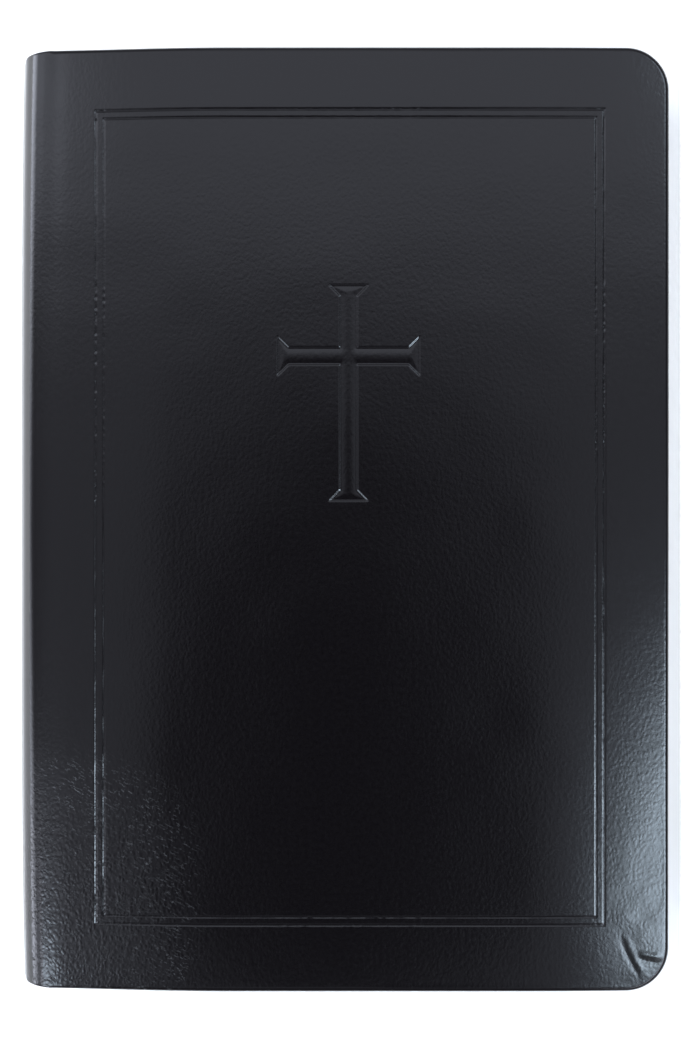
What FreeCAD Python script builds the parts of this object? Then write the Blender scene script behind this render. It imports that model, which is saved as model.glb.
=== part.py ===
import FreeCAD, Part

"""Flexible-bound prayer book, closed and lying on its back cover.

Frame, in millimetres: +Z up out of the front cover, +X from the spine to the fore edge, +Y to the head.
The origin is under the middle of the book, on the surface that the back cover rests on.

The book is symmetrical about its mid plane. Every piece above that plane is built once, as a front
piece, and mirrored to give its back twin. The leather is one skin on the real book. Here it is divided
at its three bending lines: the two cover joints and the middle of the spine.
"""

import os

import Sketcher
from FreeCAD import Rotation, Vector

DIMS = {
    # overall size of the closed book
    "book_width": 146.0,
    "book_height": 210.0,
    "book_thick": 30.0,
    # the cover, from the outside inwards
    "leather": 0.8,
    "board": 0.7,
    "turn_in": 0.3,
    "turn_in_width": 15.0,
    "pastedown": 0.2,
    "paste_margin": 4.5,
    "cover_corner": 9.5,
    "edge_round": 0.75,
    "joint_width": 2.6,
    # the rounded back of the spine
    "spine_radius": 42.0,
    "shoulder": 5.0,
    "lining": 0.3,
    "super_cloth": 0.25,
    "thread_room": 0.45,
    "thread": 0.36,
    "lining_height": 207.0,
    "super_height": 172.0,
    # the sewn leaves
    "leaf_width": 137.0,
    "leaf_height": 203.0,
    "leaf_corner": 8.0,
    "paper": 0.2,
    "fold_round": 0.95,
    "back_round": 2.1,
    "halfsections": 6.0,
    "turning_leaves": 6.0,
    # head and tail bands
    "band": 2.2,
    "band_tab": 10.0,
    # the tooled frame of two rules
    "frame_width": 112.9,
    "frame_height": 181.2,
    "frame_x": 2.0,
    "frame_y": 0.5,
    "rule_gap": 1.8,
    "outer_rule": 0.75,
    "inner_rule": 0.45,
    "rule_depth": 0.25,
    # the pressed cross
    "cross_x": 1.7,
    "cross_y": 36.3,
    "cross_arm": 15.8,
    "cross_foot": 32.2,
    "cross_half": 1.95,
    "cross_flare": 2.5,
    "cross_end": 4.4,
    "cross_depth": 0.35,
}
SECTIONS = int(DIMS["halfsections"])
TURNING = int(DIMS["turning_leaves"])
SEWING_STATIONS = (-84.0, -44.0, 0.0, 44.0, 84.0)  # places along the spine where the sections are linked
UP = Vector(0, 0, 1)
HEADWARD = Vector(0, 1, 0)
SPLIT_ANGLE = 45.0  # where the skin divides at the cover joint, from the spine side
THREAD_REACH = 0.96  # how far the sewing links go towards the outermost section

# places worked out from the sheet, as FreeCAD expressions
SPINE_X = "(-dims.book_width / 2)"
FORE_X = "(dims.book_width / 2)"
MID_Z = "(dims.book_thick / 2)"
TOP_Z = "(dims.book_thick)"
SKIN_Z = "(dims.book_thick - dims.leather)"
BOARD_Z = "(dims.book_thick - dims.leather - dims.board)"
TURN_Z = "(dims.book_thick - dims.leather - dims.board - dims.turn_in)"
INSIDE_Z = "(dims.book_thick - dims.leather - dims.board - dims.turn_in - dims.pastedown)"
FLY_Z = f"({INSIDE_Z} - dims.paper)"
ARC_X = f"({SPINE_X} + dims.spine_radius)"
SWEEP = "asin((dims.book_thick / 2 - dims.shoulder) / (dims.spine_radius - dims.shoulder))"
SHOULDER_X = f"({ARC_X} - (dims.spine_radius - dims.shoulder) * cos({SWEEP}))"
SHOULDER_Z = "(dims.book_thick - dims.shoulder)"
BOARD_X = f"({SHOULDER_X} + dims.joint_width)"
LINING_DEPTH = "(dims.leather + dims.lining)"
SUPER_DEPTH = "(dims.leather + dims.lining + dims.super_cloth)"
FOLD_X = f"({SPINE_X} + {SUPER_DEPTH} + dims.thread_room)"
MIDDLE_Z = f"({MID_Z} + dims.turning_leaves / 2 * dims.paper)"
LEAVES_Z = f"({MIDDLE_Z} + dims.paper)"
SECTION = f"(({FLY_Z} - {LEAVES_Z}) / dims.halfsections)"

doc = FreeCAD.newDocument("prayer_book")
dims = doc.addObject("Spreadsheet::Sheet", "dims")
for row, (alias, number) in enumerate(DIMS.items(), start=1):
    dims.set(f"A{row}", alias)
    dims.set(f"B{row}", str(number))
    dims.setAlias(f"B{row}", alias)
doc.recompute()
pieces = []


def number(expression):
    """The value of an expression on the sheet, as a plain number."""
    found = dims.evalExpression(expression)
    return float(getattr(found, "Value", found))


def piece(thing, label):
    """Names an object of the document as one piece of the book."""
    thing.Label = label
    pieces.append(thing)
    return thing


def polygons(body, name, role, offset, rings):
    """A sketch of closed polygons on one of the body's origin planes. Each corner is a pair of expressions."""
    plane = next(f for f in body.Origin.OriginFeatures if f.Role == role)
    sketch = body.newObject("Sketcher::SketchObject", name)
    sketch.AttachmentSupport = (plane, [""])
    sketch.MapMode = "FlatFace"
    if offset:
        sketch.setExpression("AttachmentOffset.Base.z", offset)
    for ring in rings:
        corners = [Vector(number(x), number(y), 0) for x, y in ring]
        first = sketch.GeometryCount
        count = len(corners)
        for i in range(count):
            sketch.addGeometry(Part.LineSegment(corners[i], corners[(i + 1) % count]), False)
        for i in range(count):
            after = first + (i + 1) % count
            sketch.addConstraint(Sketcher.Constraint("Coincident", first + i, 2, after, 1))
        for i, (x, y) in enumerate(ring):
            for axis, expression in (("DistanceX", x), ("DistanceY", y)):
                value = number(expression)
                at = sketch.addConstraint(Sketcher.Constraint(axis, -1, 1, first + i, 1, value))
                sketch.setExpression(f"Constraints[{at}]", expression)
    return sketch


def edges(feature, wanted, along=None):
    """Names of the feature's edges whose ends pass the test, and that run along one axis if it is given."""
    doc.recompute()
    names = []
    for i, edge in enumerate(feature.Shape.Edges, start=1):
        ends = [v.Point for v in edge.Vertexes]
        step = ends[-1] - ends[0]
        if along and (step - along * step.dot(along)).Length > 0.01:
            continue
        if all(wanted(p) for p in ends):
            names.append(f"Edge{i}")
    return names


def round_off(body, feature, chosen, radius):
    """A fillet on the named edges."""
    fillet = body.newObject("PartDesign::Fillet", "Round")
    fillet.Base = (feature, chosen)
    fillet.setExpression("Radius", radius)
    doc.recompute()
    return fillet


def round_at(body, feature, x, axis, radius):
    """A fillet on the edges at one place along X that run along an axis."""
    return round_off(body, feature, edges(feature, lambda p: near(p.x, x), axis), radius)


def slab(name, profile, height):
    """A body padded both ways along Y from a closed profile in X and Z."""
    body = doc.addObject("PartDesign::Body", name)
    sketch = polygons(body, "Profile", "XZ_Plane", None, [profile])
    pad = body.newObject("PartDesign::Pad", "Thickness")
    pad.Profile = sketch
    pad.Midplane = True
    pad.setExpression("Length", height)
    doc.recompute()
    return body, pad


def rectangle(x0, x1, z0, z1):
    """The corners of a rectangle in X and Z."""
    return [(x0, z0), (x1, z0), (x1, z1), (x0, z1)]


def near(value, expression):
    """Whether a number is the same as an expression on the sheet."""
    return abs(value - number(expression)) < 0.01


def sheet(name, x0, x1, z0, z1, height, corner):
    """A flat sheet with its two fore-edge corners rounded."""
    body, pad = slab(name, rectangle(x0, x1, z0, z1), height)
    round_at(body, pad, x1, UP, corner)
    return body


def pocket(body, name, rings, depth):
    """Presses polygons into the outer face of the front cover."""
    before = body.Shape.Volume
    sketch = polygons(body, name, "XY_Plane", TOP_Z, rings)
    cut = body.newObject("PartDesign::Pocket", name + "Press")
    cut.Profile = sketch
    cut.setExpression("Length", depth)
    doc.recompute()
    if not body.Shape.Volume < before - 1.0:
        raise RuntimeError(f"{name} cut nothing")


def frame_rings():
    """Four nested rectangles: the two edges of the outer rule and the two edges of the inner rule."""
    rings = []
    for inset, rule in (("0", "dims.outer_rule"), ("dims.rule_gap", "dims.inner_rule")):
        for side in "+-":
            x = f"(dims.frame_width / 2 - {inset} {side} {rule} / 2)"
            y = f"(dims.frame_height / 2 - {inset} {side} {rule} / 2)"
            corners = ("--", "+-", "++", "-+")
            rings.append([(f"dims.frame_x {h} {x}", f"dims.frame_y {v} {y}") for h, v in corners])
    return rings


def cross_ring():
    """The outline of a cross whose four ends flare out."""
    half, arm, foot, end = "dims.cross_half", "dims.cross_arm", "dims.cross_foot", "dims.cross_end"
    neck, ankle = "(dims.cross_arm - dims.cross_flare)", "(dims.cross_foot - dims.cross_flare)"
    right = [(end, arm), (half, neck), (half, half), (neck, half), (arm, end)]
    right += [(arm, f"-{end}"), (neck, f"-{half}"), (half, f"-{half}"), (half, f"-{ankle}"), (end, f"-{foot}")]
    left = [("-" + x, y) for x, y in reversed(right)]
    return [(f"dims.cross_x + ({x})", f"dims.cross_y + ({y})") for x, y in right + left]


def sector(name, depth, centre, start, sweep, height, y0, radius="dims.spine_radius"):
    """A pie slice of a cylinder along Y, turned to begin start degrees above the direction of -X."""
    slice_ = doc.addObject("Part::Cylinder", name)
    slice_.setExpression("Radius", f"{radius} - {depth}")
    slice_.setExpression("Height", height)
    slice_.setExpression("Angle", sweep)
    turn = Rotation(Vector(1, 0, 0), -90) * Rotation(Vector(0, 0, 1), 180 + number(start))
    slice_.Placement.Rotation = turn
    slice_.setExpression("Placement.Base.x", centre[0])
    slice_.setExpression("Placement.Base.y", y0)
    slice_.setExpression("Placement.Base.z", centre[1])
    return slice_


def strip(name, outer, inner, centre, start, sweep, height, y0=None, radius="dims.spine_radius"):
    """A curved strip of the spine, between two depths under its outer face."""
    y0 = y0 or f"-{height} / 2"
    cut = doc.addObject("Part::Cut", name)
    cut.Base = sector(name + "Outer", outer, centre, start, sweep, height, y0, radius)
    cut.Tool = sector(name + "Inner", inner, centre, start, sweep, height, y0, radius)
    return cut


def bead(name, depth, radius, y, sweep=SWEEP):
    """A round cord that follows the spine's curve at one place along Y."""
    ring = doc.addObject("Part::Torus", name)
    ring.setExpression("Radius1", f"dims.spine_radius - {depth}")
    ring.setExpression("Radius2", radius)
    ring.setExpression("Angle3", sweep)
    ring.Placement.Rotation = Rotation(Vector(1, 0, 0), -90) * Rotation(Vector(0, 0, 1), 180)
    ring.setExpression("Placement.Base.x", ARC_X)
    ring.setExpression("Placement.Base.y", y)
    ring.setExpression("Placement.Base.z", MID_Z)
    return ring


def fuse(name, shapes):
    """Several shapes joined into one."""
    joined = doc.addObject("Part::MultiFuse", name)
    joined.Shapes = shapes
    return joined


def mirrored(thing, label, normal, base_axis, base):
    """A twin of a piece on the other side of a plane."""
    twin = doc.addObject("Part::Mirroring", label)
    twin.Source = thing
    twin.Normal = normal
    twin.setExpression(f"Base.{base_axis}", base)
    return piece(twin, label)


def back_twin(thing, label):
    """The piece of the back half that matches a piece of the front half."""
    return mirrored(thing, label, UP, "z", MID_Z)


def cover_board():
    """A thin flexible board, pared round three sides where the leather is turned in under it."""
    body = sheet(
        "board",
        BOARD_X,
        f"{FORE_X} - dims.leather",
        BOARD_Z,
        SKIN_Z,
        "dims.book_height - 2 * dims.leather",
        "dims.cover_corner - dims.leather",
    )
    core = polygons(body, "Core", "XY_Plane", BOARD_Z, [core_ring()])
    pad = body.newObject("PartDesign::Pad", "CorePad")
    pad.Profile = core
    pad.Reversed = True
    pad.setExpression("Length", "dims.turn_in")
    doc.recompute()
    return body


def core_ring():
    """The part of the board that the turned-in leather leaves uncovered."""
    reach = "(dims.book_height / 2 - dims.turn_in_width)"
    fore = f"{FORE_X} - dims.turn_in_width"
    return [(BOARD_X, "-" + reach), (fore, "-" + reach), (fore, reach), (BOARD_X, reach)]


def cover_leather(name, board, tooled):
    """The leather of one cover: a skin over the board, its turned-in edges, and half of the round shoulder."""
    profile = [
        (SHOULDER_X, SKIN_Z),
        (BOARD_X, SKIN_Z),
        (BOARD_X, TURN_Z),
        (FORE_X, TURN_Z),
        (FORE_X, TOP_Z),
        (SHOULDER_X, TOP_Z),
    ]
    body, pad = slab(name + "Panel", profile, "dims.book_height")
    tip = round_at(body, pad, FORE_X, UP, "dims.cover_corner")
    top = edges(tip, lambda p: near(p.z, TOP_Z))
    spine_side = edges(tip, lambda p: near(p.x, SHOULDER_X))
    round_off(body, tip, [edge for edge in top if edge not in spine_side], "dims.edge_round")
    if tooled:
        pocket(body, "Rules", frame_rings(), "dims.rule_depth")
        pocket(body, "Cross", [cross_ring()], "dims.cross_depth")
    hollow = doc.addObject("Part::Cut", name + "Hollow")
    hollow.Base = body
    hollow.Tool = board
    shoulder = strip(
        name + "Shoulder",
        "0",
        "dims.leather",
        (SHOULDER_X, SHOULDER_Z),
        str(SPLIT_ANGLE),
        f"{90 - SPLIT_ANGLE} deg",
        "dims.book_height",
        radius="dims.shoulder",
    )
    return fuse(name, [hollow, shoulder])


def spine_leather():
    """Half of the leather back: the slightly rounded spine and the first half of the shoulder."""
    back = strip("backArc", "0", "dims.leather", (ARC_X, MID_Z), "0", SWEEP, "dims.book_height")
    turn = strip(
        "backShoulder",
        "0",
        "dims.leather",
        (SHOULDER_X, SHOULDER_Z),
        SWEEP,
        f"{SPLIT_ANGLE} deg - {SWEEP}",
        "dims.book_height",
        radius="dims.shoulder",
    )
    return fuse("spine_leather_front", [back, turn])


def head_band(name):
    """A woven bead on the head of the leaves, with the tab that is glued down over their folds."""
    edge = "(dims.leaf_height / 2)"
    roll = bead(name + "Roll", f"({LINING_DEPTH} + dims.band / 2)", "dims.band / 2", f"{edge} + dims.band / 2")
    tab = strip(
        name + "Tab",
        LINING_DEPTH,
        SUPER_DEPTH,
        (ARC_X, MID_Z),
        "0",
        SWEEP,
        "dims.band_tab + dims.band / 2",
        y0=f"{edge} - dims.band_tab",
    )
    return fuse(name, [roll, tab])


def section(index):
    """A folded section: index 0 lies next to the mid plane. The rounded back shifts the outer ones forward."""
    low = f"({LEAVES_Z} + {index} * {SECTION})"
    shift = f"(dims.back_round * (({index} + 0.5) / dims.halfsections) ^ 2)"
    x0 = f"({FOLD_X} + {shift})"
    x1 = f"({x0} + dims.leaf_width)"
    high = f"({low} + {SECTION})"
    body = sheet(f"fold{index}", x0, x1, low, high, "dims.leaf_height", "dims.leaf_corner")
    round_at(body, body.Tip, x0, HEADWARD, "dims.fold_round")
    return body


def leaf(name, low, x0):
    """One loose-lying leaf."""
    x1 = f"({x0} + dims.leaf_width)"
    return sheet(name, x0, x1, low, f"({low} + dims.paper)", "dims.leaf_height", "dims.leaf_corner")


def build_covers():
    """The two covers: leather, board and pasted-down endpaper. Only the front leather is tooled."""
    board = cover_board()
    margin = "dims.paste_margin"
    paste = sheet(
        "paste",
        BOARD_X,
        f"{FORE_X} - {margin}",
        INSIDE_Z,
        TURN_Z,
        f"dims.book_height - 2 * {margin}",
        f"dims.cover_corner - {margin}",
    )
    piece(cover_leather("tooledLeather", board, True), "front_cover_leather")
    back_twin(cover_leather("plainLeather", board, False), "back_cover_leather")
    back_twin(piece(board, "front_cover_board"), "back_cover_board")
    back_twin(piece(paste, "front_pastedown"), "back_pastedown")


def build_spine():
    """The leather back and everything glued or sewn between it and the folds of the sections."""
    arc = (ARC_X, MID_Z)
    lining = strip("lining", "dims.leather", LINING_DEPTH, arc, "0", SWEEP, "dims.lining_height")
    cloth = strip("cloth", LINING_DEPTH, SUPER_DEPTH, arc, "0", SWEEP, "dims.super_height")
    depth = f"({SUPER_DEPTH} + dims.thread_room / 2)"
    reach = f"{SWEEP} * {THREAD_REACH}"
    links = [bead(f"link{i}", depth, "dims.thread / 2", str(y), reach) for i, y in enumerate(SEWING_STATIONS)]
    thread = doc.addObject("Part::Compound", "links")
    thread.Links = links
    head = head_band("headBand")
    tail = mirrored(head, "tailband_front", HEADWARD, "y", "0")
    back_twin(piece(spine_leather(), "spine_leather_front"), "spine_leather_back")
    back_twin(piece(lining, "spine_lining_front"), "spine_lining_back")
    back_twin(piece(cloth, "spine_cloth_front"), "spine_cloth_back")
    back_twin(piece(thread, "sewing_thread_front"), "sewing_thread_back")
    back_twin(piece(head, "headband_front"), "headband_back")
    back_twin(tail, "tailband_back")


def build_leaves():
    """The folded sections, the free endpapers, and the single leaves where the book falls open."""
    for index in range(SECTIONS):
        fold = piece(section(index), f"section_{SECTIONS + 1 + index:02d}")
        back_twin(fold, f"section_{SECTIONS - index:02d}")
    fly = leaf("fly", FLY_Z, f"({FOLD_X} + dims.back_round)")
    back_twin(piece(fly, "front_flyleaf"), "back_flyleaf")
    middle = leaf("middle", MIDDLE_Z, FOLD_X)
    back_twin(piece(middle, "middle_leaf_front"), "middle_leaf_back")
    for index in range(TURNING):
        low = f"({MID_Z} + ({index} - dims.turning_leaves / 2) * dims.paper)"
        piece(leaf(f"turning{index}", low, FOLD_X), f"turning_leaf_{index + 1}")


def write_parts():
    """Checks every object and writes one STEP file for each piece."""
    doc.recompute()
    for thing in doc.Objects:
        bad = [s for s in thing.State if s in ("Invalid", "Error")]
        if bad:
            raise RuntimeError(f"{thing.Label} failed: {bad}")
    os.makedirs("parts", exist_ok=True)
    for old in os.listdir("parts"):
        os.remove(os.path.join("parts", old))
    for thing in pieces:
        shape = thing.Shape
        if shape.isNull() or not shape.isValid() or not shape.Solids:
            raise RuntimeError(f"{thing.Label} has no valid solid")
        shape.exportStep(os.path.join("parts", thing.Label + ".step"))
    print(len(pieces), "pieces")


build_covers()
build_spine()
build_leaves()
write_parts()
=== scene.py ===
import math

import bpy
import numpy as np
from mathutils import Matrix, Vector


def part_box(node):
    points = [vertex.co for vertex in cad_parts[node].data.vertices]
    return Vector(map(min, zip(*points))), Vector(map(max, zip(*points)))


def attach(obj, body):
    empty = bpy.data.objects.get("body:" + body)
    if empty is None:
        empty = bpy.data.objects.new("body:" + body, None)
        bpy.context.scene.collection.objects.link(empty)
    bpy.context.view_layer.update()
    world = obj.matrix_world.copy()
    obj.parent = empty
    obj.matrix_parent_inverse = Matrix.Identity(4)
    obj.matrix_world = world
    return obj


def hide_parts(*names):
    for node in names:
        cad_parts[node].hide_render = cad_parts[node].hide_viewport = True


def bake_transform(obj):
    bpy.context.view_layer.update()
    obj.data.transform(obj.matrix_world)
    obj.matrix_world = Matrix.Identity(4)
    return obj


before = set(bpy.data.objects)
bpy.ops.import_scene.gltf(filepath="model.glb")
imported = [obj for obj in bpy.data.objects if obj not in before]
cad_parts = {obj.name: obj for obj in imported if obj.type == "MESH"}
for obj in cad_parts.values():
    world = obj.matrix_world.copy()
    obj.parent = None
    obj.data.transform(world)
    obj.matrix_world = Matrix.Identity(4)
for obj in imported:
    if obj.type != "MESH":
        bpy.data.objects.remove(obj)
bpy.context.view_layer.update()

# Looks of a flexible-bound prayer book, built round its CAD frame.
#
# Shapes are worked out in millimetres in the frame of the book: +Z out of the front cover, +X from the spine
# to the fore edge, +Y to the head. MM turns them into metres when a mesh is made.

MM = 0.001
rng = np.random.default_rng(11)

# places read from the frame
leather_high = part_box("front_cover_leather")[1]
spine_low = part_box("spine_leather_back")[0]
board_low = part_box("front_cover_board")[0]
FORE_X = leather_high.x / MM
HEAD_Y = leather_high.y / MM
TOP_Z = leather_high.z / MM
SPINE_X = spine_low.x / MM
MID_Z = TOP_Z / 2
BOARD_X = board_low.x / MM

# the cover
SKIN = 0.8  # thickness of the leather
PANEL = 1.8  # thickness of leather, board and turned-in edge together
COVER_CORNER = 9.5
SPINE_RADIUS = 42.0
SHOULDER = 5.0
ARC_X = SPINE_X + SPINE_RADIUS
SWEEP = math.asin((MID_Z - SHOULDER) / (SPINE_RADIUS - SHOULDER))
SHOULDER_X = ARC_X - (SPINE_RADIUS - SHOULDER) * math.cos(SWEEP)
JOIN = 9.0  # distance from the mid plane to where the spine's leather meets the leather of a cover
SPINE_FOLD = 2.5  # half the height of the spine that bends when the book falls open
HINGE_START = -69.4  # where the pasted-down endpaper starts, next to the spine

# the tooling
FRAME_CENTRE = (2.0, 0.5)
FRAME_HALF = (56.45, 90.6)
RULE_GAP = 1.8
RULES = ((0.0, 0.52, 0.15), (RULE_GAP, 0.42, 0.11))  # inset, width and depth
CROSS_CENTRE = (1.7, 36.3)
CROSS_ARM = 15.8
CROSS_FOOT = 32.2
CROSS_HALF = 1.95
CROSS_FLARE = 2.5
CROSS_END = 4.4
CROSS_DEPTH = 0.15
CREASES = (  # start, end, width, depth and height of the lip
    ((61.3, -91.8), (66.8, -103.2), 0.55, 0.05, 0.045),
    ((65.4, -97.6), (71.8, -99.0), 0.60, 0.05, 0.085),
)
CREASE_X = (59.9, 70.4, 0.4)  # from, to and step of the fine grid lines at the creases
CREASE_Y = (-101.6, -92.2, 0.4)


# ---------------------------------------------------------------- numbers


def clamp(t):
    """t cut off at 0 and 1."""
    return np.clip(t, 0.0, 1.0)


def smooth(t):
    """0 below 0, 1 above 1 and a smooth step between."""
    t = clamp(t)
    return t * t * (3 - 2 * t)


def spaced(low, high, step):
    """Evenly spaced numbers from low to high, at most step apart."""
    return np.linspace(low, high, max(2, int(math.ceil((high - low) / step)) + 1))


def grid_lines(low, high, step, dense=()):
    """Grid lines from low to high, with finer ones in each (from, to, step) of dense."""
    coarse = spaced(low, high, step)
    for start, stop, _ in dense:
        coarse = coarse[(coarse < start - step / 4) | (coarse > stop + step / 4)]
    fine = [spaced(start, stop, fine_step) for start, stop, fine_step in dense]
    return np.unique(np.round(np.concatenate([coarse, [low, high], *fine]), 4))


def value_noise(x, y, cell, seed):
    """Smooth noise from -1 to 1 over a plane, with bumps about one cell wide."""
    table = np.random.default_rng(seed).uniform(-1, 1, (64, 64))
    u, v = x / cell + 20.0, y / cell + 20.0
    i, j = np.floor(u).astype(int), np.floor(v).astype(int)
    a, b = smooth(u - i), smooth(v - j)

    def corner(p, q):
        """The random numbers at one corner of each point's cell."""
        return table[(i + p) % 64, (j + q) % 64]

    low = corner(0, 0) * (1 - a) + corner(1, 0) * a
    high = corner(0, 1) * (1 - a) + corner(1, 1) * a
    return low * (1 - b) + high * b


def settle(points):
    """The book's own slackness: it hangs at the fore edge, rolls down to the spine and draws in there."""
    x, y, z = points[..., 0], points[..., 1], points[..., 2]
    height = clamp((z - 2.0) / (TOP_Z - 2.0))
    towards_fore = clamp((x - 40.0) / 33.0) ** 2.2
    towards_tail = 0.45 + 0.55 * smooth((-y + 20.0) / 95.0)
    roll = 1.3 * clamp((-38.0 - x) / 35.0) ** 1.8 + 0.9 * clamp((-61.0 - x) / 10.0) ** 2
    roll = roll + 0.28 * clamp((-86.0 - y) / 19.0) ** 2 + 0.16 * clamp((y - 90.0) / 15.0) ** 2
    corner = clamp((-70.8 - x) / 2.2)
    drawn_in = 0.55 * smooth((-25.0 - x) / 40.0) + 0.9 * clamp((-64.0 - x) / 9.0) ** 1.3
    drawn_in = drawn_in + 2.0 * (1.0 - np.sqrt(1.0 - corner**2))
    belly = 0.7 * smooth((-60.0 - x) / 10.0) * np.abs(y / HEAD_Y) ** 3
    settled = points.copy()
    settled[..., 0] = x + belly
    settled[..., 1] = y * (1.0 - drawn_in / HEAD_Y)
    settled[..., 2] = z - height * (1.35 * towards_fore * towards_tail + roll)
    return settled


# ---------------------------------------------------------------- meshes


def make_object(name, points, faces, materials, material_index=None, flat_from=None):
    """A mesh object from points in millimetres. Faces from flat_from on are shaded flat."""
    mesh = bpy.data.meshes.new(name)
    co = np.asarray(points, float).reshape(-1, 3)
    mesh.from_pydata((co * MM).tolist(), [], faces.tolist())
    for material in materials:
        mesh.materials.append(material)
    count = len(mesh.polygons)
    shade = np.ones(count, bool)
    if flat_from is not None:
        shade[flat_from:] = False
    mesh.polygons.foreach_set("use_smooth", shade)
    if material_index is not None:
        mesh.polygons.foreach_set("material_index", np.asarray(material_index, np.int32))
    rest = mesh.attributes.new("rest_place", "FLOAT_VECTOR", "POINT")
    rest.data.foreach_set("vector", (co * MM).astype(np.float32).ravel())
    mesh.update()
    obj = bpy.data.objects.new(name, mesh)
    bpy.context.scene.collection.objects.link(obj)
    return obj


def quads(index, flip=False):
    """Faces between the rows and columns of a grid of point numbers."""
    corners = [index[:-1, :-1], index[1:, :-1], index[1:, 1:], index[:-1, 1:]]
    if flip:
        corners.reverse()
    return np.stack(corners, -1).reshape(-1, 4)


def round_corners(x, y, high_x, half_y, radius):
    """Moves the points of a rectangular grid so that its two corners at high_x become round."""
    a = x - (high_x - radius)
    b = np.abs(y) - (half_y - radius)
    inside = (a > 0) & (b > 0)
    big = np.maximum(np.maximum(a, b), 1e-9)
    small = np.minimum(a, b)
    angle = math.pi / 4 * small / big
    along = np.where(a >= b, np.cos(angle), np.sin(angle)) * big
    across = np.where(a >= b, np.sin(angle), np.cos(angle)) * big
    new_x = np.where(inside, high_x - radius + along, x)
    new_y = np.where(inside, np.sign(y) * (half_y - radius + across), y)
    reach = np.where(inside, radius - big, np.minimum(high_x - x, half_y - np.abs(y)))
    return new_x, new_y, reach


def slab(name, xs, ys, corner, low, high, rings, materials, folded=0.0, wander=0.0):
    """A flat piece with rounded fore-edge corners. rings lists (height from 0 to 1, inset) up its side.

    folded rounds the side next to the spine, and wander moves each ring in and out by a little.
    """
    gx, gy = np.meshgrid(xs, ys, indexing="ij")
    px, py, _ = round_corners(gx, gy, xs[-1], ys[-1], corner)
    rows, columns = px.shape
    index = np.arange(rows * columns).reshape(rows, columns)
    loop = np.concatenate([index[:-1, 0], index[-1, :-1], index[:0:-1, -1], index[0, :0:-1]])
    flat = np.stack([px.ravel(), py.ravel()], -1)
    edge = flat[loop]
    ahead = np.roll(edge, -1, 0) - np.roll(edge, 1, 0)
    outward = np.stack([ahead[:, 1], -ahead[:, 0]], -1)
    outward /= np.linalg.norm(outward, axis=1, keepdims=True)
    at_fold = edge[:, 0] < xs[0] + 1e-6
    at_corner = at_fold & (np.abs(edge[:, 1]) > ys[-1] - 1e-6)
    outward[at_fold] = (-1.0, 0.0)
    layers = []
    thick = high - low
    distance = np.cumsum(np.linalg.norm(np.roll(edge, -1, 0) - edge, axis=1))
    for share, inset in rings:
        wave = wander * rng.normal() + wander * np.sin(distance / rng.uniform(15, 45) + rng.uniform(0, 6.3))
        pull = np.full(len(edge), inset) + wave
        if folded:
            depth = max(0.0, abs(share - 0.5) * thick - (thick / 2 - folded))
            pull[at_fold] = folded - math.sqrt(max(0.0, folded**2 - depth**2))
        ring = edge - outward * pull[:, None]
        if folded and inset:
            ring[at_corner, 1] -= np.sign(edge[at_corner, 1]) * inset
        layers.append(np.column_stack([ring, np.full(len(edge), low + share * thick)]))
    top = np.column_stack([flat, np.full(len(flat), high)])
    bottom = np.column_stack([flat, np.full(len(flat), low)])
    top[loop, :2] = layers[-1][:, :2]
    bottom[loop, :2] = layers[0][:, :2]
    base = len(flat)
    wall = np.concatenate([np.zeros((0, 3)), *layers[1:-1]])
    points = np.concatenate([bottom, top, wall])
    ring_index = [loop]
    for k in range(len(layers) - 2):
        ring_index.append(2 * base + k * len(loop) + np.arange(len(loop)))
    ring_index.append(base + loop)
    faces = [quads(index, True), quads(index + base)]
    caps = len(faces[0]) + len(faces[1])
    for lower, upper in zip(ring_index, ring_index[1:]):
        faces.append(np.stack([lower, np.roll(lower, -1), np.roll(upper, -1), upper], -1))
    faces = np.concatenate(faces)
    which = np.zeros(len(faces), np.int32)
    which[caps:] = min(1, len(materials) - 1)
    obj = make_object(name, settle(points), faces, materials, which)
    sharpen(obj, which)
    return obj


def sharpen(obj, which):
    """Marks the edges between two materials' faces as sharp, so that a flat face stays flat to its edge."""
    mesh = obj.data
    edge_of_loop = np.zeros(len(mesh.loops), np.int32)
    mesh.loops.foreach_get("edge_index", edge_of_loop)
    face_of_loop = np.repeat(np.arange(len(mesh.polygons)), 4)
    low = np.full(len(mesh.edges), which.max())
    high = np.full(len(mesh.edges), which.min())
    np.minimum.at(low, edge_of_loop, which[face_of_loop])
    np.maximum.at(high, edge_of_loop, which[face_of_loop])
    mesh.edges.foreach_set("use_edge_sharp", low != high)


# ---------------------------------------------------------------- the tooling


def rectangle_distance(x, y, half_x, half_y):
    """Signed distance to a rectangle about the frame's centre, negative inside."""
    dx = np.abs(x - FRAME_CENTRE[0]) - half_x
    dy = np.abs(y - FRAME_CENTRE[1]) - half_y
    outside = np.hypot(np.maximum(dx, 0), np.maximum(dy, 0))
    return outside + np.minimum(np.maximum(dx, dy), 0)


def rules_depth(x, y):
    """The two pressed rules of the frame, uneven along their length."""
    depth = np.zeros_like(x)
    for inset, width, deep in RULES:
        away = np.abs(rectangle_distance(x, y, FRAME_HALF[0] - inset, FRAME_HALF[1] - inset))
        depth = np.maximum(depth, deep * (1 - smooth(away / (width * 0.72))))
    return depth * (0.75 + 0.4 * value_noise(x, y, 0.8, 9))


def cross_outline():
    """The corners of the cross, round its centre."""
    half, arm, foot, end = CROSS_HALF, CROSS_ARM, CROSS_FOOT, CROSS_END
    neck, ankle = arm - CROSS_FLARE, foot - CROSS_FLARE
    right = [(end, arm), (half, neck), (half, half), (neck, half), (arm, end)]
    right += [(arm, -end), (neck, -half), (half, -half), (half, -ankle), (end, -foot)]
    left = [(-x, y) for x, y in reversed(right)]
    return np.array(right + left) + np.array(CROSS_CENTRE)


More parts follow.
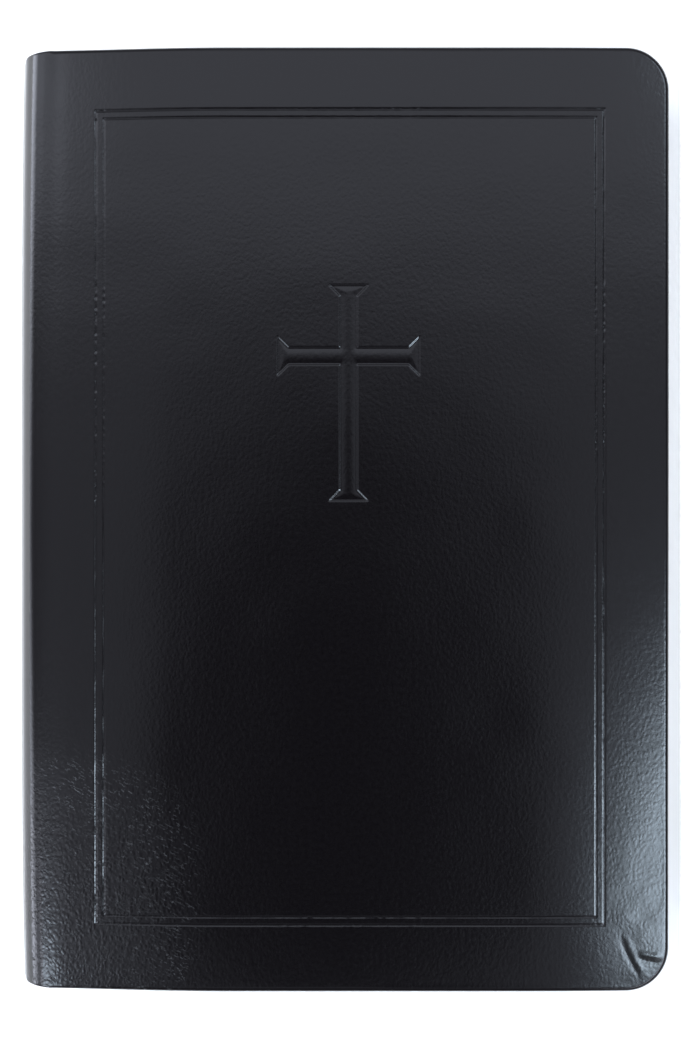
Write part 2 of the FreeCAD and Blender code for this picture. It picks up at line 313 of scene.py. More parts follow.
def polygon_distance(x, y, corners):
    """Distance inside a polygon to its outline, and 0 or less outside."""
    best = np.full(x.shape, 1e9)
    inside = np.zeros(x.shape, bool)
    for (ax, ay), (bx, by) in zip(corners, np.roll(corners, -1, 0)):
        ex, ey = bx - ax, by - ay
        t = np.clip(((x - ax) * ex + (y - ay) * ey) / (ex * ex + ey * ey), 0, 1)
        best = np.minimum(best, np.hypot(x - ax - t * ex, y - ay - t * ey))
        if ey:
            crosses = (ay > y) != (by > y)
            inside ^= crosses & (x < ax + (y - ay) / ey * ex)
    return np.where(inside, best, -best)


def cross_depth(x, y):
    """Pressed in along its outline, with a floor that swells up again in the middle."""
    inside = polygon_distance(x, y, cross_outline())
    wall = smooth((inside + 0.12) / 0.34)
    swell = 1 - (1 - np.clip(inside / CROSS_HALF, 0, 1)) ** 2
    return CROSS_DEPTH * wall * (1 - 0.62 * swell)


def crease(x, y, start, end, width, depth, lip):
    """A pressed fold in the leather, deepest half way along, with a raised lip on one side."""
    ax, ay = start
    ex, ey = end[0] - ax, end[1] - ay
    length = math.hypot(ex, ey)
    along = ((x - ax) * ex + (y - ay) * ey) / length**2
    across = ((x - ax) * -ey + (y - ay) * ex) / length
    across = across - 0.18 * length * (along - 0.5) ** 2
    share = smooth(along / 0.3) * smooth((1 - along) / 0.3)
    valley = np.exp(-((across / width) ** 2))
    ridge = np.exp(-(((across - 2.0 * width) / (1.3 * width)) ** 2))
    return share * (lip * ridge - depth * valley)


def front_relief(x, y):
    """Height of the front cover's outer face over a flat plane."""
    height = -rules_depth(x, y) - cross_depth(x, y)
    height += 0.05 * value_noise(x, y, 26.0, 3) + 0.022 * value_noise(x, y, 11.0, 4)
    for one in CREASES:
        height += crease(x, y, *one)
    corner = smooth((x - 54.0) / 12.0) * smooth((-60.0 - y) / 30.0)
    return height + corner * 0.03 * value_noise(x, y, 4.2, 5)


def back_relief(x, y):
    """The same for the back cover, which has no tooling."""
    return 0.05 * value_noise(x, y, 26.0, 7) + 0.022 * value_noise(x, y, 11.0, 8)


# ---------------------------------------------------------------- the leather

EDGE_LINES = np.array([0.0, 0.03, 0.1, 0.2, 0.34, 0.5, 0.7, 0.9, 1.2, 1.7, 2.4, 3.3])


def spine_profile(heights):
    """(x, z, normal x, normal z, thickness) of the spine's outer face at some heights over the mid plane."""
    across = np.sqrt(SPINE_RADIUS**2 - heights**2)
    ones = np.ones_like(heights)
    return np.stack(
        [ARC_X - across, MID_Z + heights, -across / SPINE_RADIUS, heights / SPINE_RADIUS, SKIN * ones], -1
    )


def shoulder_profile(angles):
    """The same for the round shoulder, at angles over the direction of -X."""
    nx, nz = -np.cos(angles), np.sin(angles)
    x = SHOULDER_X + SHOULDER * nx
    z = TOP_Z - SHOULDER + SHOULDER * nz
    return np.stack([x, z, nx, nz, SKIN * np.ones_like(angles)], -1)


def panel_profile(xs):
    """The same for the flat panel, which is thicker where it holds the board."""
    thick = SKIN + (PANEL - SKIN) * smooth((xs - BOARD_X + 1.2) / 1.2)
    ones = np.ones_like(xs)
    return np.stack([xs, TOP_Z * ones, 0 * ones, ones, thick], -1)


def skin_mesh(name, profile, ys, material, relief, corner, upside_down):
    """A closed leather skin: a profile in X and Z carried along Y, with round edges on its free sides."""
    px = np.repeat(profile[:, 0][:, None], len(ys), 1)
    py = np.repeat(ys[None, :], len(profile), 0)
    half = ys[-1]
    if corner:
        px, py, reach = round_corners(px, py, FORE_X, half, corner)
    else:
        reach = half - np.abs(py)
    pz, nx, nz, thick = (np.repeat(profile[:, k][:, None], len(ys), 1) for k in range(1, 5))
    round_over = thick / 2
    fall = np.clip(reach / round_over, 0, 1)
    full = np.sqrt(np.clip(1 - (1 - fall) ** 2, 0, 1))
    middle = np.stack([px - nx * thick / 2, py, pz - nz * thick / 2], -1)
    normal = np.stack([nx, np.zeros_like(nx), nz], -1)
    rise = relief(px, py) * smooth(reach / 1.5) * smooth((px - SHOULDER_X + 3.0) / 5.0) if relief else 0.0
    outer = middle + normal * (full * thick / 2 + rise)[..., None]
    inner = middle - normal * (full * thick / 2)[..., None]
    points = np.stack([outer, inner])
    if upside_down:
        points[..., 2] = TOP_Z - points[..., 2]
    points = settle(points)
    rows, columns = px.shape
    index = np.arange(rows * columns).reshape(rows, columns)
    under = index + rows * columns
    under[:, 0] = index[:, 0]
    under[:, -1] = index[:, -1]
    if corner:
        under[-1, :] = index[-1, :]
    faces = [quads(index, upside_down), quads(under, not upside_down)]
    smooth_faces = len(faces[0]) + len(faces[1])
    ends = [0] if corner else [0, -1]
    for end in ends:
        a, b = index[end, :-1], index[end, 1:]
        c, d = under[end, 1:], under[end, :-1]
        strip = np.stack([a, b, c, d] if (end == 0) != upside_down else [d, c, b, a], -1)
        faces.append(strip[1:-1])
    faces = np.concatenate(faces)
    used = np.unique(faces)
    number = np.full(2 * rows * columns, -1)
    number[used] = np.arange(len(used))
    return make_object(name, points.reshape(-1, 3)[used], number[faces], [material], flat_from=smooth_faces)


def along_y(dense=()):
    """Grid lines from tail to head, close together at both ends for the rounded edge."""
    inner = HEAD_Y - EDGE_LINES[-1]
    middle = grid_lines(-inner, inner, 1.5, dense)
    return np.concatenate([-HEAD_Y + EDGE_LINES[:-1], middle, (HEAD_Y - EDGE_LINES[:-1])[::-1]])


def rule_zones(centre, half):
    """Where the rules cross a grid direction: a fine zone at each."""
    zones = []
    for side in (-1, 1):
        near, far = sorted((centre + side * (half - RULE_GAP), centre + side * half))
        zones.append((near - 0.6, far + 0.7, 0.155))
    return zones


def cover_leather(name, material, tooled):
    """The leather of one cover, from its join on the spine over the shoulder to the fore edge."""
    dense_x, dense_y = [], []
    if tooled:
        corners = cross_outline()
        low, high = corners.min(0) - 0.5, corners.max(0) + 0.5
        dense_x = rule_zones(FRAME_CENTRE[0], FRAME_HALF[0]) + [(low[0], high[0], 0.2)]
        dense_y = rule_zones(FRAME_CENTRE[1], FRAME_HALF[1]) + [(low[1], high[1], 0.2)]
        dense_x.append(CREASE_X)
        dense_y.append(CREASE_Y)
    heights = spaced(JOIN, SPINE_RADIUS * math.sin(SWEEP), 0.35)
    angles = spaced(SWEEP, math.pi / 2, math.radians(4))
    inner = FORE_X - EDGE_LINES[-1]
    flats = grid_lines(SHOULDER_X, inner, 1.5, [(SHOULDER_X, BOARD_X + 0.5, 0.45), *dense_x])
    xs = np.concatenate([flats[1:], (FORE_X - EDGE_LINES[:-1])[::-1]])
    profile = np.concatenate([spine_profile(heights)[:-1], shoulder_profile(angles), panel_profile(xs)])
    relief = front_relief if tooled else back_relief
    skin = skin_mesh(name, profile, along_y(dense_y), material, relief, COVER_CORNER, not tooled)
    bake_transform(skin)
    return skin


def spine_leather(material):
    """The leather over the middle of the spine, which creases where the book falls open."""
    heights = grid_lines(-JOIN, JOIN, 0.9, [(-SPINE_FOLD - 0.5, SPINE_FOLD + 0.5, 0.25)])
    skin = skin_mesh("spine_leather", spine_profile(heights), along_y(), material, None, None, False)
    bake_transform(skin)
    return skin


def spine_layer(name, depth, thick, node, material):
    """A sheet glued inside the spine, at some depth under the leather's outer face."""
    radius = SPINE_RADIUS - depth
    reach = radius * math.sin(SWEEP) - 0.2
    heights = spaced(-reach, reach, 0.6)
    across = np.sqrt(radius**2 - heights**2)
    thickness = np.full_like(heights, thick)
    profile = np.stack([ARC_X - across, MID_Z + heights, -across / radius, heights / radius, thickness], -1)
    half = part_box(node + "_front")[1].y / MM
    sheet = skin_mesh(name, profile, spaced(-half, half, 2.0), material, None, None, False)
    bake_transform(sheet)
    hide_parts(node + "_front", node + "_back")


# ---------------------------------------------------------------- boards and endpapers

THIN_RINGS = ((0.0, 0.0), (1.0, 0.0))


def leaf_lines(low, high, half, step=3.0):
    """Grid lines for a leaf or a section: closer together at the round corners and next to the fold."""
    xs = grid_lines(low, high, step, [(low, low + 12.0, 1.0), (high - 9.0, high, 1.1)])
    ys = grid_lines(-half, half, step, [(-half, -half + 9.0, 1.1), (half - 9.0, half, 1.1)])
    return xs, ys


def node_slab(name, node, corner, materials, reach_x=None):
    """A thin slab that fills the box of a CAD node, or starts from reach_x along X."""
    low, high = (corner_point / MM for corner_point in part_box(node))
    start = low.x if reach_x is None else reach_x
    xs, ys = leaf_lines(start, high.x, high.y)
    return slab(name, xs, ys, corner, low.z, high.z, THIN_RINGS, materials)


def cover_inside(side, board_material, paper):
    """The board and the pasted-down endpaper of one cover."""
    half_body, body = f"{side}_half", f"{side}_cover"
    board_name = f"{side}_cover_board"
    low, high = (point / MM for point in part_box(board_name))
    xs, ys = leaf_lines(low.x + 0.3, high.x - 0.4, high.y - 0.4)
    glue = 0.12
    bottom, top = low.z + glue, high.z - glue
    board = slab(board_name + "_card", xs, ys, COVER_CORNER - 1.2, bottom, top, THIN_RINGS, [board_material])
    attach(board, body)
    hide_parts(board_name)
    node = f"{side}_pastedown"
    paste = node_slab(node + "_sheet", node, COVER_CORNER - 4.5, [paper], reach_x=HINGE_START)
    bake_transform(paste)
    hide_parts(node)


# ---------------------------------------------------------------- leaves

LEAF_CORNER = 8.0
LEAVES_SHOWN = 11  # leaf edges cut into the side of each section
FOLD_ROUND = 0.95  # radius of a section's folded edge
LEAF_CURL = {1: 70.0, 2: 60.0, 3: 52.0, 4: 52.0, 5: 60.0, 6: 70.0}  # the turning leaves by number, each with a bend width; the leaves are built flat


def section_rings():
    """The side of a section: one small notch between each two leaves."""
    rings = []
    for k in range(LEAVES_SHOWN):
        rings += [((k + 0.12) / LEAVES_SHOWN, 0.0), ((k + 0.88) / LEAVES_SHOWN, 0.0)]
        if k < LEAVES_SHOWN - 1:
            rings.append(((k + 1.0) / LEAVES_SHOWN, 0.07))
    return [(0.0, 0.05), *rings, (1.0, 0.05)]


def build_sections(page, edges):
    """The twelve sewn sections, six on each side of the middle."""
    for number in range(1, 13):
        node = f"section_{number:02d}"
        low, high = (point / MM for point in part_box(node))
        xs, ys = leaf_lines(low.x, high.x, high.y, 6.0)
        piece = slab(
            node + "_leaves", xs, ys, LEAF_CORNER, low.z, high.z, section_rings(), [page, edges],
            folded=FOLD_ROUND, wander=0.018,
        )
        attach(piece, "back_half" if number <= 6 else "front_half")
        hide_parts(node)


def build_leaves(page, edges, endpaper):
    """The two leaves at the middle opening, the six that turn, and the two free endpapers."""
    for side in ("back", "front"):
        node = f"middle_leaf_{side}"
        piece = node_slab(node + "_sheet", node, LEAF_CORNER, [page, edges])
        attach(piece, f"{side}_half")
        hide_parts(node)
    for number, curl in LEAF_CURL.items():
        node = f"turning_leaf_{number}"
        piece = node_slab(node + "_sheet", node, LEAF_CORNER, [page, edges])
        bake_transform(piece)
        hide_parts(node)
    fly = node_slab("front_flyleaf_sheet", "front_flyleaf", LEAF_CORNER, [endpaper])
    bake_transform(fly)
    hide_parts("front_flyleaf")
    fly = node_slab("back_flyleaf_sheet", "back_flyleaf", LEAF_CORNER, [endpaper])
    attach(fly, "back_half")
    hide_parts("back_flyleaf")


def middle_fold(page):
    """The fold of the innermost sheet: a narrow strip that bridges the two halves in the gutter."""
    low, high = (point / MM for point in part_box("turning_leaf_3"))
    reach = low.x + 0.15
    half_stack = 0.62  # half the height of the fold
    bulge = 0.32  # how far it rounds out towards the spine
    heights = np.linspace(-half_stack, half_stack, 17)
    inward = bulge * np.sqrt(np.clip(1 - (heights / half_stack) ** 2, 0, 1))
    ones = np.ones_like(heights)
    profile = np.stack([reach - inward, MID_Z + heights, -ones, 0 * ones, 0.1 * ones], -1)
    ys = spaced(-high.y, high.y, 3.0)
    strip = skin_mesh("middle_fold", profile, ys, page, None, None, False)
    middle = settle(np.array([[reach, 0.0, MID_Z]]))[0, 2]
    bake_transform(strip)


# ---------------------------------------------------------------- head and tail bands

BAND = 2.2
BAND_DEPTH = 2.2  # from the spine's outer face to the middle of the bead
WRAP = 0.42  # width of one turn of thread round the core


def band(name, end, nodes, material):
    """A bead wrapped in thread that follows the spine. end is 1 at the head and -1 at the tail."""
    radius = SPINE_RADIUS - BAND_DEPTH
    turns = int(2 * SWEEP * radius / WRAP)
    along = np.linspace(-SWEEP, SWEEP, turns * 8 + 1)
    around = np.linspace(0, 2 * math.pi, 17)[:-1]
    phase = (along + SWEEP) * radius / WRAP * 2 * math.pi
    thick = BAND / 2 * (0.93 + 0.07 * np.abs(np.sin(phase / 2)))
    taper = np.clip((SWEEP - np.abs(along)) * radius / 0.8, 0.0, 1.0)
    thick = thick * np.sqrt(np.clip(1 - (1 - taper) ** 2, 0.02, 1))
    a, u = np.meshgrid(along, around, indexing="ij")
    r = np.repeat(thick[:, None], len(around), 1)
    outward = radius + r * np.cos(u)
    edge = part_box(nodes[0])[1].y / MM if end > 0 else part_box(nodes[0])[0].y / MM
    y = edge - end * BAND / 2 + r * np.sin(u) * 0.98
    points = np.stack([ARC_X - outward * np.cos(a), y, MID_Z + outward * np.sin(a)], -1)
    rows, columns = a.shape
    index = np.arange(rows * columns).reshape(rows, columns)
    index = np.concatenate([index, index[:, :1]], 1)
    bead = make_object(name, settle(points), quads(index), [material])
    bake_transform(bead)
    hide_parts(*nodes)


# ---------------------------------------------------------------- materials


class Graph:
    """Short names for making the nodes of a shader tree."""

    def __init__(self, tree):
        self.tree = tree

    def node(self, kind, **settings):
        """A new node, with some of its settings."""
        made = self.tree.nodes.new("ShaderNode" + kind)
        for name, value in settings.items():
            setattr(made, name, value)
        return made

    def feed(self, socket, value):
        """Links a socket to another node's output, or sets its value."""
        if isinstance(value, bpy.types.NodeSocket):
            self.tree.links.new(value, socket)
        else:
            socket.default_value = value

    def math(self, operation, a, b=0.0):
        """The result of a sum on numbers or outputs."""
        node = self.node("Math", operation=operation)
        self.feed(node.inputs[0], a)
        self.feed(node.inputs[1], b)
        return node.outputs[0]

    def plus(self, a, b):
        return self.math("ADD", a, b)

    def minus(self, a, b):
        return self.math("SUBTRACT", a, b)

    def times(self, a, b):
        return self.math("MULTIPLY", a, b)

    def vector(self, operation, a, b):
        """The result of a sum on vectors."""
        node = self.node("VectorMath", operation=operation)
        self.feed(node.inputs[0], a)
        self.feed(node.inputs[1], b)
        return node.outputs[0]

    def ramp(self, value, low, high, to_low=0.0, to_high=1.0):
        """A smooth step from to_low, where the value is low, to to_high, where it is high."""
        node = self.node("MapRange", interpolation_type="SMOOTHSTEP")
        for socket, given in zip(node.inputs, (value, low, high, to_low, to_high)):
            self.feed(socket, given)
        return node.outputs[0]


class Nodes(Graph):
    """A material's nodes. place is the point's own place on the closed book, in millimetres."""

    def __init__(self, name, **principled):
        self.material = bpy.data.materials.new(name)
        self.material.use_nodes = True
        super().__init__(self.material.node_tree)
        self.tree.nodes.clear()
        output = self.node("OutputMaterial")
        self.shader = self.node("BsdfPrincipled")
        self.feed(output.inputs["Surface"], self.shader.outputs[0])
        for socket, value in principled.items():
            self.shader.inputs[socket.replace("_", " ")].default_value = value
        place = self.node("Attribute", attribute_name="rest_place")
        self.place = self.vector("MULTIPLY", place.outputs["Vector"], (1 / MM, 1 / MM, 1 / MM))

    def scaled(self, factors):
        """Places squeezed or stretched along the axes."""
        return self.vector("MULTIPLY", self.place, factors)

    def turned(self, degrees, factors):
        """Places in X and Y turned about Z and then stretched."""
        turn = self.node("VectorRotate", rotation_type="Z_AXIS")
        turn.inputs["Angle"].default_value = math.radians(degrees)
        self.feed(turn.inputs["Vector"], self.place)
        return self.vector("MULTIPLY", turn.outputs[0], (*factors, 1.0))

    def split(self):
        """X, Y and Z of the place."""
        node = self.node("SeparateXYZ")
        self.feed(node.inputs[0], self.place)
        return node.outputs

    def flat_place(self, x, y):
        """A place made of two values."""
        node = self.node("CombineXYZ")
        self.feed(node.inputs[0], x)
        self.feed(node.inputs[1], y)
        return node.outputs[0]

    def noise(self, place, scale, detail=2.0, roughness=0.5, distortion=0.0, **settings):
        """Noise from 0 to 1, or the height of a ridged pattern."""
        node = self.node("TexNoise", **settings)
        self.feed(node.inputs["Vector"], place)
        node.inputs["Scale"].default_value = scale
        node.inputs["Detail"].default_value = detail
        node.inputs["Roughness"].default_value = roughness
        node.inputs["Distortion"].default_value = distortion
        return node.outputs["Fac"]

    def noise_vector(self, place, scale, strength):
        """Random offsets that change smoothly from place to place."""
        node = self.node("TexNoise")
        self.feed(node.inputs["Vector"], place)
        node.inputs["Scale"].default_value = scale
        node.inputs["Detail"].default_value = 1.0
        return self.vector("MULTIPLY", node.outputs["Color"], (strength, strength, strength))

    def cells(self, place, scale):
        """Distance to the middle of the nearest cell."""
        node = self.node("TexVoronoi", feature="F1")
        self.feed(node.inputs["Vector"], place)
        node.inputs["Scale"].default_value = scale
        return node.outputs["Distance"]

    def mix(self, share, a, b):
        """A colour from a, where share is 0, to b, where it is 1."""
        node = self.node("Mix", data_type="RGBA")
        self.feed(node.inputs["Factor"], share)
        self.feed(node.inputs[6], a)
        self.feed(node.inputs[7], b)
        return node.outputs[2]

    def bump(self, height, distance):
        """The normal of a surface raised by height times distance."""
        node = self.node("Bump")
        node.inputs["Distance"].default_value = distance
        node.inputs["Strength"].default_value = 1.0
        self.feed(node.inputs["Height"], height)
        return node.outputs[0]

    def use(self, **sockets):
        """Links outputs to the shader's sockets and returns the finished material."""
        for socket, value in sockets.items():
            self.feed(self.shader.inputs[socket.replace("_", " ")], value)
        return self.material


def leather_material():
    """Black bonded leather: smooth and half glossy, pebbled at the fore edge and hair-marked by the spine."""
    n = Nodes("black_leather", Specular_IOR_Level=0.5)
    x, y, _ = n.split()
    fine = n.noise(n.place, 1.1, 2.0)
    colour = n.mix(fine, (0.0030, 0.0022, 0.0027, 1), (0.0044, 0.0033, 0.0039, 1))
    fore = n.times(n.ramp(x, 44.0, 66.0), n.ramp(y, 10.0, -80.0))
    spine = n.times(n.ramp(x, -26.0, -60.0), n.ramp(y, -48.0, -84.0))
    warped = n.vector("ADD", n.scaled((1.0, 0.72, 1.0)), n.noise_vector(n.place, 0.35, 1.6))
    pebble = n.ramp(n.cells(warped, 1.25), 0.08, 0.75, 1.0, 0.0)
    ridges = n.noise(n.scaled((1.0, 0.6, 1.0)), 0.30, 2.0, 0.55, 1.1, noise_type="RIDGED_MULTIFRACTAL")
    wrinkle = n.ramp(ridges, 0.75, 1.15)
    hair = n.ramp(n.noise(n.turned(-60.0, (3.3, 0.55)), 1.0, 2.0, 0.5, 0.6), 0.60, 0.70)
    pebbled = n.plus(n.plus(n.times(fore, 0.024), n.times(spine, 0.10)), 0.025)
    wrinkled = n.plus(n.times(fore, 0.06), 0.015)
    height = n.minus(n.times(pebble, pebbled), n.times(wrinkle, wrinkled))
    height = n.minus(height, n.times(hair, n.times(spine, 0.55)))
    height = n.plus(height, n.times(fine, 0.06))
    rough = n.plus(n.plus(n.times(fine, 0.05), n.times(fore, 0.06)), 0.12)
    return n.use(Base_Color=colour, Roughness=rough, Normal=n.bump(height, 0.00016))


def paper_material(name, light, dark, lines=False):
    """Uncoated paper with a soft mottle. With lines it carries rows of grey strokes in the place of print."""
    n = Nodes(name, Specular_IOR_Level=0.25, Roughness=0.78)
    cloud = n.noise(n.place, 0.45, 4.0, 0.6)
    colour = n.mix(n.ramp(cloud, 0.3, 0.7), light, dark)
    if lines:
        colour = n.mix(print_mask(n), colour, (0.13, 0.12, 0.12, 1))
    fibre = n.noise(n.scaled((1.6, 1.6, 1.6)), 1.0, 4.0, 0.6)
    return n.use(Base_Color=colour, Normal=n.bump(fibre, 0.00003))


LINE_PITCH = 3.9
TEXT_HALF = (52.0, 82.0)  # half the width and height of the block of print


def print_mask(n):
    """Rows of broken strokes inside the margins of a page."""
    x, y, _ = n.split()
    row = n.math("DIVIDE", y, LINE_PITCH)
    number = n.math("FLOOR", row)
    within = n.math("ABSOLUTE", n.minus(n.math("FRACT", row), 0.5))
    bar = n.ramp(within, 0.20, 0.15)
    seat = n.flat_place(n.times(x, 0.28), n.times(number, 7.31))
    words = n.ramp(n.noise(seat, 1.0, 0.0), 0.40, 0.43)
    strokes = n.flat_place(n.times(x, 1.9), n.times(y, 1.9))
    letters = n.ramp(n.noise(strokes, 1.0, 1.0), 0.36, 0.52, 0.25, 1.0)
    last = n.node("TexWhiteNoise", noise_dimensions="1D")
    n.feed(last.inputs["W"], number)
    length = n.ramp(last.outputs["Value"], 0.70, 1.0, TEXT_HALF[0], -8.0)
    inside_x = n.times(n.math("GREATER_THAN", x, -TEXT_HALF[0] - 2.0), n.math("LESS_THAN", x, length))
    inside_y = n.math("LESS_THAN", n.math("ABSOLUTE", y), TEXT_HALF[1])
    block = n.times(inside_x, inside_y)
    mask = n.times(n.times(bar, words), n.times(letters, block))
    return n.times(mask, 0.62)


def page_edge_material():
    """The trimmed edges of the leaves: fine lines, one for each leaf, with painted shade in a few darker gaps
    between them.
    """
    n = Nodes("page_edges", Specular_IOR_Level=0.3, Roughness=0.62)
    fine = n.noise(n.scaled((0.03, 0.03, 9.0)), 1.0, 3.0, 0.65)
    broad = n.noise(n.scaled((0.02, 0.02, 1.4)), 1.0, 2.0)
    base = n.mix(n.ramp(broad, 0.3, 0.7), (0.74, 0.67, 0.53, 1), (0.83, 0.77, 0.65, 1))
    # painted shade: the dark brown stands for the shade in the gaps between the leaves
    colour = n.mix(n.ramp(fine, 0.34, 0.62), (0.46, 0.38, 0.27, 1), base)
    return n.use(Base_Color=colour, Normal=n.bump(fine, 0.00012))


def band_material():
    """Silk thread wound round a core, in two alternating colours."""
    n = Nodes("band_thread", Specular_IOR_Level=0.45, Roughness=0.5)
    _, _, z = n.split()
    turn = n.math("FRACT", n.math("DIVIDE", z, WRAP * 4))
    stripe = n.ramp(n.math("ABSOLUTE", n.minus(turn, 0.5)), 0.22, 0.27)
    colour = n.mix(stripe, (0.62, 0.50, 0.26, 1), (0.16, 0.018, 0.02, 1))
    ply = n.noise(n.scaled((2.0, 6.0, 14.0)), 1.0, 2.0)
    return n.use(Base_Color=colour, Normal=n.bump(ply, 0.00008))


def woven_material(name, colour, shade, pitch):
    """An open weave of crossing threads."""
    n = Nodes(name, Specular_IOR_Level=0.3, Roughness=0.8)
    _, y, z = n.split()
    warp = n.math("ABSOLUTE", n.minus(n.math("FRACT", n.math("DIVIDE", y, pitch)), 0.5))
    weft = n.math("ABSOLUTE", n.minus(n.math("FRACT", n.math("DIVIDE", z, pitch)), 0.5))
    thread = n.math("MINIMUM", warp, weft)
    fuzz = n.times(n.noise(n.place, 6.0, 3.0), 0.12)
    cover = n.ramp(n.plus(thread, fuzz), 0.34, 0.22)
    return n.use(Base_Color=n.mix(cover, shade, colour), Normal=n.bump(cover, 0.00015))


def plain_material(name, light, dark, grain, roughness, depth):
    """A rough solid with a two-tone grain, for greyboard, kraft paper and thread."""
    n = Nodes(name, Specular_IOR_Level=0.3, Roughness=roughness)
    speck = n.noise(n.place, grain, 5.0, 0.65)
    return n.use(Base_Color=n.mix(n.ramp(speck, 0.3, 0.7), light, dark), Normal=n.bump(speck, depth))


# ---------------------------------------------------------------- the book


def dress_cad_node(node, material):
    """Gives a CAD node that stays in view a finished material."""
    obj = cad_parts[node]
    for slot in obj.material_slots:
        slot.material = material
    if not obj.material_slots:
        obj.data.materials.append(material)


def object_space(material):
    """A copy of a material for CAD nodes, which have no rest_place: it reads the object's own coordinates."""
    copy = material.copy()
    copy.name = material.name + "_cad"
    nodes = copy.node_tree.nodes
    old = next(n for n in nodes if n.type == "ATTRIBUTE")
    coordinates = nodes.new("ShaderNodeTexCoord")
    for link in list(old.outputs["Vector"].links):
        copy.node_tree.links.new(coordinates.outputs["Object"], link.to_socket)
    nodes.remove(old)
    return copy


def build_book():
    """Makes the materials and every piece."""
    leather = leather_material()
    page = paper_material("printed_page", (0.87, 0.82, 0.71, 1), (0.845, 0.793, 0.68, 1), lines=True)
    plain_page = paper_material("plain_page", (0.87, 0.82, 0.71, 1), (0.845, 0.793, 0.68, 1))
    endpaper = paper_material("endpaper", (0.80, 0.755, 0.65, 1), (0.775, 0.729, 0.623, 1))
    edges = page_edge_material()
    greyboard = plain_material("greyboard", (0.40, 0.35, 0.28, 1), (0.28, 0.24, 0.19, 1), 1.2, 0.9, 0.0001)
    kraft = plain_material("kraft", (0.45, 0.33, 0.20, 1), (0.36, 0.26, 0.15, 1), 0.8, 0.85, 0.00005)
    linen = plain_material("waxed_linen", (0.72, 0.66, 0.52, 1), (0.55, 0.49, 0.37, 1), 6.0, 0.55, 0.00004)
    mull = woven_material("mull", (0.80, 0.77, 0.68, 1), (0.36, 0.30, 0.22, 1), 0.9)

    front = cover_leather("front_cover_skin", leather, True)
    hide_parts("front_cover_leather", "spine_leather_front")
    back = cover_leather("back_cover_skin", leather, False)
    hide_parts("back_cover_leather", "spine_leather_back")
    spine = spine_leather(leather)

    for side in ("front", "back"):
        cover_inside(side, greyboard, endpaper)
    build_sections(plain_page, edges)
    build_leaves(page, edges, endpaper)
    middle_fold(plain_page)
    thread = band_material()
    band("headband_bead", 1, ("headband_front", "headband_back"), thread)
    band("tailband_bead", -1, ("tailband_front", "tailband_back"), thread)
    spine_layer("spine_lining_paper", SKIN + 0.02, 0.26, "spine_lining", kraft)
    spine_layer("spine_cloth_mull", SKIN + 0.32, 0.21, "spine_cloth", mull)
    for side in ("front", "back"):
        dress_cad_node(f"sewing_thread_{side}", object_space(linen))


# ---------------------------------------------------------------- floor, light and camera


def floor():
    """A plain pale floor under the book."""
    material = bpy.data.materials.new("pale_floor")
    material.use_nodes = True
    shader = material.node_tree.nodes["Principled BSDF"]
    shader.inputs["Base Color"].default_value = (0.8, 0.8, 0.8, 1)
    shader.inputs["Roughness"].default_value = 0.6
    mesh = bpy.data.meshes.new("floor")
    half = 8.0
    corners = [(-half, -half, 0), (half, -half, 0), (half, half, 0), (-half, half, 0)]
    mesh.from_pydata(corners, [], [(0, 1, 2, 3)])
    mesh.materials.append(material)
    obj = bpy.data.objects.new("floor", mesh)
    bpy.context.scene.collection.objects.link(obj)


def area_light(name, place, size, power):
    """A soft oblong light that points at the book."""
    data = bpy.data.lights.new(name, "AREA")
    data.shape = "RECTANGLE"
    data.size, data.size_y = size
    data.energy = power
    obj = bpy.data.objects.new(name, data)
    obj.location = place
    obj.rotation_euler = (Vector((0, 0, 0.02)) - Vector(place)).to_track_quat("-Z", "Y").to_euler()
    bpy.context.scene.collection.objects.link(obj)
    return obj


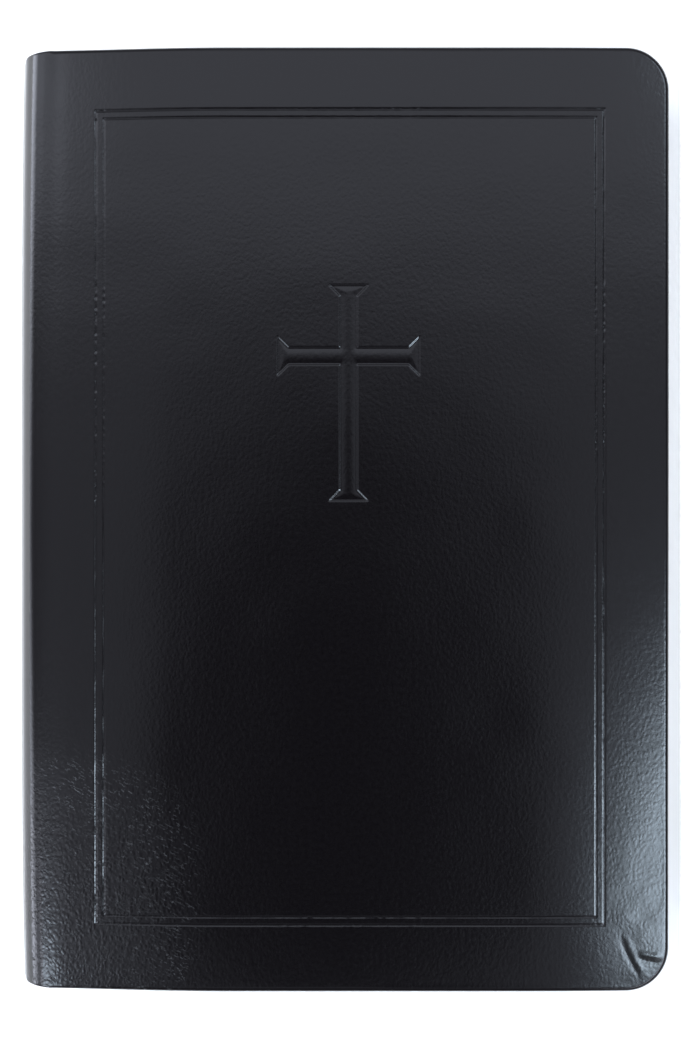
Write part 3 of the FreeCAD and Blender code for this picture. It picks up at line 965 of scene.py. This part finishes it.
class Sky(Graph):
    """Brightness of the room by direction. x and y are the slopes of a direction: its X and Y over its Z."""

    def __init__(self, tree):
        super().__init__(tree)
        coordinates = self.node("TexCoord")
        split = self.node("SeparateXYZ")
        self.feed(split.inputs[0], coordinates.outputs["Generated"])
        self.direction = split.outputs
        rise = self.math("MAXIMUM", split.outputs[2], 0.02)
        self.x = self.math("DIVIDE", split.outputs[0], rise)
        self.y = self.math("DIVIDE", split.outputs[1], rise)

    def distance(self, centre, half):
        """Distance from a centre in units of an ellipse's half width and half height."""
        across = self.math("DIVIDE", self.minus(self.x, centre[0]), half[0])
        along = self.math("DIVIDE", self.minus(self.y, centre[1]), half[1])
        return self.math("SQRT", self.plus(self.times(across, across), self.times(along, along)))

    def overhead(self):
        """The ceiling: dark where the camera's stand hides it, paler to the left and towards the head."""
        stand = self.ramp(self.distance((0.0, -0.145), (0.11, 0.235)), 0.62, 1.35)
        ceiling = self.ramp(self.y, 0.09, 0.185, 0.47, 1.1)
        to_left = self.ramp(self.x, -0.17, -0.34)
        to_ends = self.ramp(self.math("ABSOLUTE", self.y), 0.12, 0.25, 0.0, 1.6)
        return self.plus(self.times(stand, ceiling), self.times(to_left, to_ends))

    def windows(self):
        """A window to the lower right, and two dimmer ones to the upper right and the lower left."""
        window = self.ramp(self.distance((0.51, -0.225), (0.28, 0.13)), 0.40, 1.06, 20.0, 0.0)
        upper = self.ramp(self.distance((0.40, 0.30), (0.16, 0.14)), 0.4, 1.0, 4.5, 0.0)
        lower = self.ramp(self.distance((-0.50, -0.42), (0.24, 0.18)), 0.3, 1.0, 8.0, 0.0)
        return self.plus(self.plus(window, upper), lower)

    def walls(self, wide):
        """The room: dim, with pale corners behind the tail, a pale left wall and a pale horizon."""
        to_right, to_head, _ = self.direction
        off_axis = self.math("ABSOLUTE", to_head)
        room = self.times(self.ramp(to_head, -0.2, 0.6, 0.1, 0.5), self.ramp(wide, 1.1, 1.9, 1.0, 0.5))
        behind = self.math("MAXIMUM", self.times(to_head, -1.0), 0.0)
        corners = self.ramp(self.times(self.math("ABSOLUTE", to_right), behind), 0.115, 0.24, 0.0, 7.0)
        room = self.plus(room, self.times(corners, self.ramp(wide, 0.95, 1.3, 1.0, 0.0)))
        room = self.plus(room, self.ramp(to_right, -0.25, -0.4, 0.0, 0.2))
        leftward = self.minus(self.times(off_axis, 0.55), to_right)
        at_ends = self.times(self.ramp(to_right, -0.3, -0.5), self.ramp(off_axis, 0.1, 0.22, 0.0, 1.7))
        left_wall = self.plus(self.ramp(leftward, 0.98, 1.13, 0.0, 6.0), at_ends)
        room = self.plus(room, self.times(left_wall, self.ramp(off_axis, 0.27, 0.4, 1.0, 0.0)))
        return self.plus(room, self.ramp(wide, 6.0, 10.0, 0.0, 0.9))


def studio():
    """A pale room, dark straight overhead, where the camera's stand keeps the light off the book."""
    world = bpy.data.worlds.new("studio")
    bpy.context.scene.world = world
    world.use_nodes = True
    sky = Sky(world.node_tree)
    wide = sky.distance((0.0, 0.0), (1.0, 1.0))
    outside = sky.ramp(wide, 0.34, 0.60)
    inside = sky.minus(1.0, outside)
    level = sky.plus(sky.times(sky.overhead(), inside), sky.times(outside, sky.walls(wide)))
    pale = sky.vector("MULTIPLY", level, (0.91, 0.96, 1.11))
    glow = sky.vector("MULTIPLY", sky.windows(), (0.80, 0.97, 1.14))
    background = world.node_tree.nodes["Background"]
    sky.feed(background.inputs["Color"], sky.vector("ADD", pale, glow))
    background.inputs["Strength"].default_value = 1.0
    floor_only = bpy.data.collections.new("floor_only")
    floor_only.objects.link(bpy.data.objects["floor"])
    for name, x, power in (("left_floor_light", -0.62, 10.0), ("right_floor_light", 0.62, 4.0)):
        light = area_light(name, (x, 0.08, 0.34), (0.5, 0.9), power)
        light.light_linking.receiver_collection = floor_only


CAMERA_HEIGHT = 0.435  # above the front cover
VIEW_HEIGHT = 0.2304  # of the picture, at the front cover
SENSOR = 36.0


def overhead_camera():
    """A camera straight above the front cover, which stands upright in the picture."""
    data = bpy.data.cameras.new("camera")
    data.sensor_width = SENSOR
    data.lens = SENSOR * CAMERA_HEIGHT / VIEW_HEIGHT
    data.clip_start = 0.01
    obj = bpy.data.objects.new("camera", data)
    obj.location = (-0.0001, 0.0001, TOP_Z * MM + CAMERA_HEIGHT)
    bpy.context.scene.collection.objects.link(obj)
    bpy.context.scene.camera = obj


build_book()
floor()
studio()
overhead_camera()
bpy.context.scene.view_settings.view_transform = "Standard"
